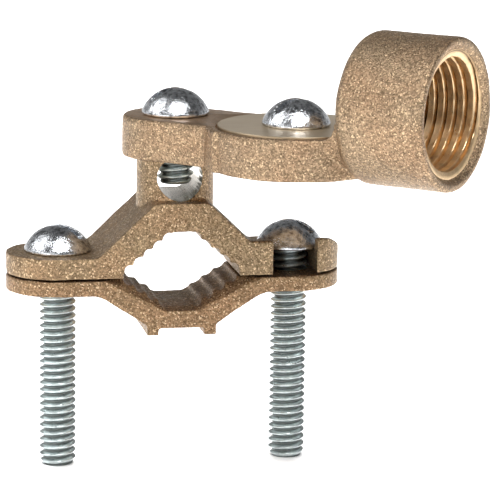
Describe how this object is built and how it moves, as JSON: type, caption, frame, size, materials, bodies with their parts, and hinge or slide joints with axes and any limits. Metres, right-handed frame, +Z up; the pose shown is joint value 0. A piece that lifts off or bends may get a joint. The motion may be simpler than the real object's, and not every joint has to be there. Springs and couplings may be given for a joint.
{
  "type": "pipe ground clamp with conduit hub",
  "caption": "Cast bronze pipe ground clamp: two notched jaws drawn together by long slotted screws, and a swivelling arm that carries a threaded conduit hub and a ground-wire screw.",
  "frame": {"origin": "middle of the pipe seat: on the axis of the terminal boss and the wire screw, midway along the jaws' depth, in the plane where the two jaws meet", "axes": "+X along the ears towards the slotted ear, +Y along the gripped pipe, +Z up from the lower jaw to the conduit hub"},
  "size_m": [0.0786, 0.0546, 0.0794],
  "materials": {
    "cast_bronze": "sand cast, fine rough grain with small bright sparkles",
    "zinc_steel": "bright zinc plated, bluish grey",
    "rolled_brass": "smooth rolled sheet, dull grey brown"
  },
  "bodies": {
    "upper_jaw": {"upper_jaw": "cast_bronze"},
    "lower_jaw": {"lower_jaw": "cast_bronze"},
    "left_clamp_screw": {"left_clamp_screw": "zinc_steel"},
    "right_clamp_screw": {"right_clamp_screw": "zinc_steel"},
    "conduit_hub": {"conduit_hub": "cast_bronze"},
    "wire_screw": {"wire_screw": "zinc_steel"},
    "bond_washer": {"bond_washer": "rolled_brass"},
    "bond_screw": {"bond_screw": "zinc_steel"}
  },
  "joints": [
    {"name": "left_screw_turn", "type": "hinge", "parent": "upper_jaw", "child": "left_clamp_screw", "pos_m": [-0.0205, 0, 0], "axis": [0, 0, 1], "range_deg": [0, 7200.5]},
    {"name": "right_screw_turn", "type": "hinge", "parent": "upper_jaw", "child": "right_clamp_screw", "pos_m": [0.0205, 0, 0], "axis": [0, 0, 1], "range_deg": [0, 7200.5]},
    {"name": "jaw_slide", "type": "slide", "parent": "upper_jaw", "child": "lower_jaw", "axis": [0, 0, 1], "range_m": [-0.0254, 0]},
    {"name": "hub_swivel", "type": "hinge", "parent": "upper_jaw", "child": "conduit_hub", "pos_m": [0, 0, 0], "axis": [0, 0, 1], "continuous": true},
    {"name": "wire_screw_lift", "type": "slide", "parent": "upper_jaw", "child": "wire_screw", "axis": [0, 0, 1], "range_m": [0, 0.008]},
    {"name": "bond_washer_lift", "type": "slide", "parent": "conduit_hub", "child": "bond_washer", "axis": [0, 0, 1], "range_m": [0, 0.00445]},
    {"name": "bond_screw_turn", "type": "hinge", "parent": "bond_washer", "child": "bond_screw", "pos_m": [0.01808, -0.01594, 0], "axis": [0, 0, 1], "range_deg": [0, 1260.5]}
  ],
  "couplings": [
    {"joint": "left_screw_turn", "follows": "jaw_slide", "rad_per_m": -4947.4},
    {"joint": "right_screw_turn", "follows": "jaw_slide", "rad_per_m": -4947.4},
    {"joint": "bond_screw_turn", "follows": "bond_washer_lift", "rad_per_m": 4947.4}
  ]
}
